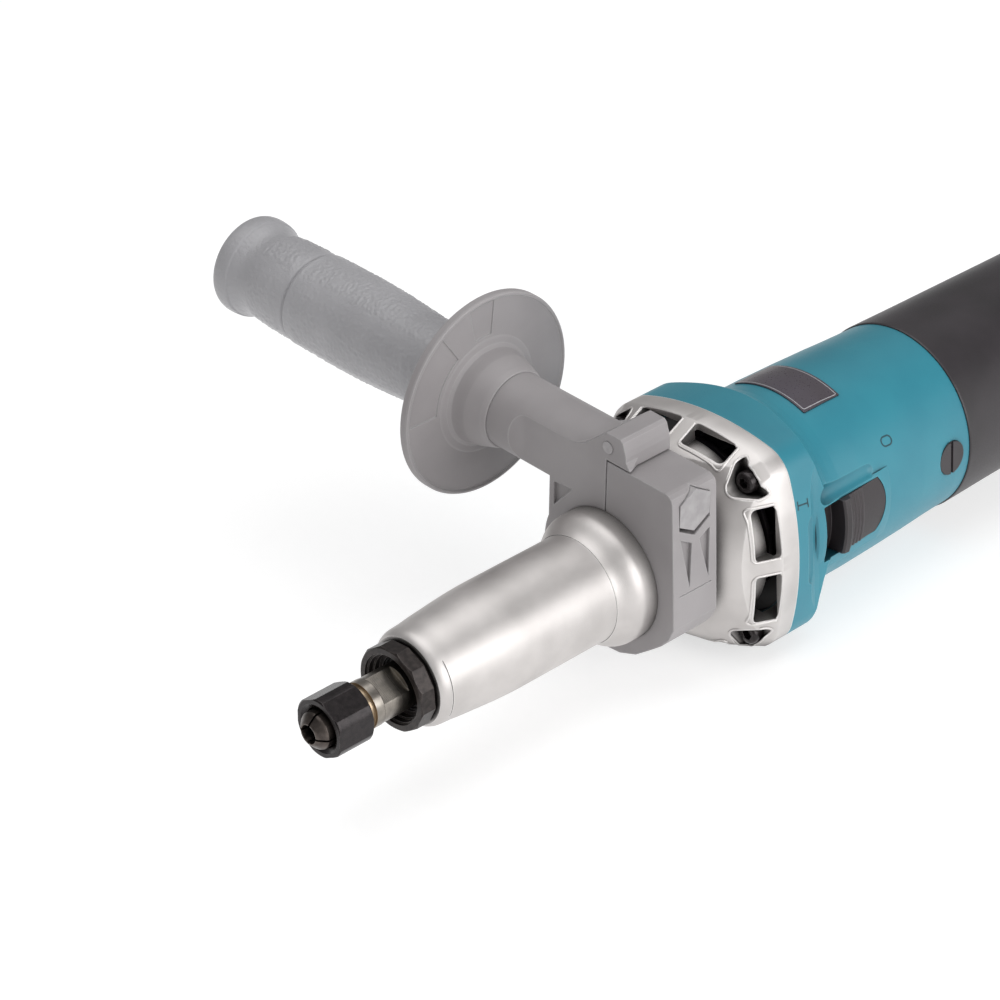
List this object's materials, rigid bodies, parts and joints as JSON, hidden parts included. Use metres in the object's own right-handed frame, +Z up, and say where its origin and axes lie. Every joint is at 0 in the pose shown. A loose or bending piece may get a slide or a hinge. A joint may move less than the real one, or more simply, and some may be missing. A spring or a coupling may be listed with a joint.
{
  "type": "straight grinder",
  "caption": "Electric straight grinder with a long cast neck, geared collet spindle, slide switch and a clamp-on side handle with a round hand guard.",
  "frame": {"origin": "on the spindle axis, at the mouth of the collet bore", "axes": "+X along the spindle from the collet to the cord inlet, +Y towards the side handle, +Z up; the tool rests on the flange's lower side, which faces -Z"},
  "size_m": [0.4042, 0.2312, 0.1196],
  "materials": {
    "cast_aluminium": "satin, bead-blasted casting",
    "machined_aluminium": "turned",
    "teal_plastic": "fine grained",
    "black_plastic": "fine grained",
    "grey_plastic": "fine grained, grip pebbled",
    "black_steel": "blackened",
    "bright_steel": "turned",
    "gear_steel": "ground",
    "bearing_steel": "ground",
    "lamination_steel": "stacked sheets",
    "copper": "enamelled wire",
    "brass": "drawn",
    "carbon": "pressed carbon",
    "seal_rubber": "moulded",
    "circuit_green": "potted board",
    "label_film": "bare film"
  },
  "bodies": {
    "housing": {"gear_housing": "cast_aluminium", "gear_plate": "machined_aluminium", "ring_gear": "gear_steel", "bearing_retainer": "black_steel", "dust_seal": "seal_rubber", "front_bearing_outer": "bearing_steel", "rear_bearing_outer": "bearing_steel", "housing_screws": "black_steel", "motor_housing": "teal_plastic", "fan_baffle": "black_plastic", "motor_bearing_front_outer": "bearing_steel", "motor_bearing_rear_outer": "bearing_steel", "stator_core": "lamination_steel", "field_coils": "copper", "brush_holders": "brass", "carbon_brushes": "carbon", "brush_springs": "brass", "brush_caps": "black_plastic", "label_plate": "label_film", "rear_cover": "black_plastic", "rear_cover_screws": "black_steel", "switch_unit": "black_plastic", "speed_controller": "circuit_green", "cord_inlet": "seal_rubber"},
    "spindle": {"collet": "bright_steel", "spindle": "bright_steel", "front_bearing_inner": "bearing_steel", "rear_bearing_inner": "bearing_steel", "planet_carrier": "gear_steel", "planet_pins": "bearing_steel", "carrier_cover": "gear_steel"},
    "collet_nut": {"collet_nut": "black_steel"},
    "armature": {"armature_shaft": "gear_steel", "sun_pinion": "gear_steel", "armature_core": "lamination_steel", "armature_winding": "copper", "commutator": "copper", "cooling_fan": "black_plastic", "motor_bearing_front_inner": "bearing_steel", "motor_bearing_rear_inner": "bearing_steel"},
    "planet_1": {"planet_gear_1": "gear_steel"},
    "planet_2": {"planet_gear_2": "gear_steel"},
    "planet_3": {"planet_gear_3": "gear_steel"},
    "switch": {"switch_slider": "black_plastic", "switch_rod": "gear_steel"},
    "dial": {"speed_dial": "black_plastic"},
    "clamp": {"clamp_base": "grey_plastic", "hinge_pin": "bright_steel"},
    "jaw": {"clamp_jaw": "grey_plastic"},
    "nut": {"clamp_nut": "bright_steel"},
    "grip": {"handle_bolt": "bright_steel", "hand_guard": "grey_plastic", "grip_sleeve": "grey_plastic"}
  },
  "joints": [
    {"name": "armature_spin", "type": "hinge", "parent": "housing", "child": "armature", "pos_m": [0.2, 0, 0], "axis": [1, 0, 0], "continuous": true},
    {"name": "spindle_spin", "type": "hinge", "parent": "housing", "child": "spindle", "pos_m": [0.1, 0, 0], "axis": [1, 0, 0], "continuous": true},
    {"name": "planet_1_spin", "type": "hinge", "parent": "spindle", "child": "planet_1", "pos_m": [0.158, 0.012, 0], "axis": [1, 0, 0], "continuous": true},
    {"name": "planet_2_spin", "type": "hinge", "parent": "spindle", "child": "planet_2", "pos_m": [0.158, -0.006, 0.01039], "axis": [1, 0, 0], "continuous": true},
    {"name": "planet_3_spin", "type": "hinge", "parent": "spindle", "child": "planet_3", "pos_m": [0.158, -0.006, -0.01039], "axis": [1, 0, 0], "continuous": true},
    {"name": "collet_nut_turn", "type": "hinge", "parent": "spindle", "child": "collet_nut", "pos_m": [0.01, 0, 0], "axis": [-1, 0, 0], "range_deg": [0, 360]},
    {"name": "switch_slide", "type": "slide", "parent": "housing", "child": "switch", "axis": [-1, 0, 0], "range_m": [0, 0.008]},
    {"name": "dial_turn", "type": "hinge", "parent": "housing", "child": "dial", "pos_m": [0.372, 0, 0.024], "axis": [0, 1, 0], "range_deg": [0, 270]},
    {"name": "handle_swing", "type": "hinge", "parent": "housing", "child": "clamp", "pos_m": [0.13975, 0, 0], "axis": [1, 0, 0], "continuous": true},
    {"name": "grip_turn", "type": "hinge", "parent": "clamp", "child": "grip", "pos_m": [0.13975, 0.05645, 0.0402], "axis": [0, 0.9955, 0.0946], "range_deg": [0, 180]},
    {"name": "clamp_nut_slide", "type": "slide", "parent": "clamp", "child": "nut", "axis": [0, -0.9955, -0.0946], "range_m": [0, 0.00063]},
    {"name": "jaw_swing", "type": "hinge", "parent": "clamp", "child": "jaw", "pos_m": [0.13975, -0.00363, 0.04877], "axis": [-1, 0, 0], "range_deg": [0, 2.52]}
  ],
  "couplings": [
    {"joint": "spindle_spin", "follows": "armature_spin", "ratio": 0.25},
    {"joint": "planet_1_spin", "follows": "armature_spin", "ratio": -0.75},
    {"joint": "planet_2_spin", "follows": "armature_spin", "ratio": -0.75},
    {"joint": "planet_3_spin", "follows": "armature_spin", "ratio": -0.75},
    {"joint": "clamp_nut_slide", "follows": "grip_turn", "m_per_rad": 0.00019894},
    {"joint": "jaw_swing", "follows": "grip_turn", "ratio": 0.01399}
  ]
}
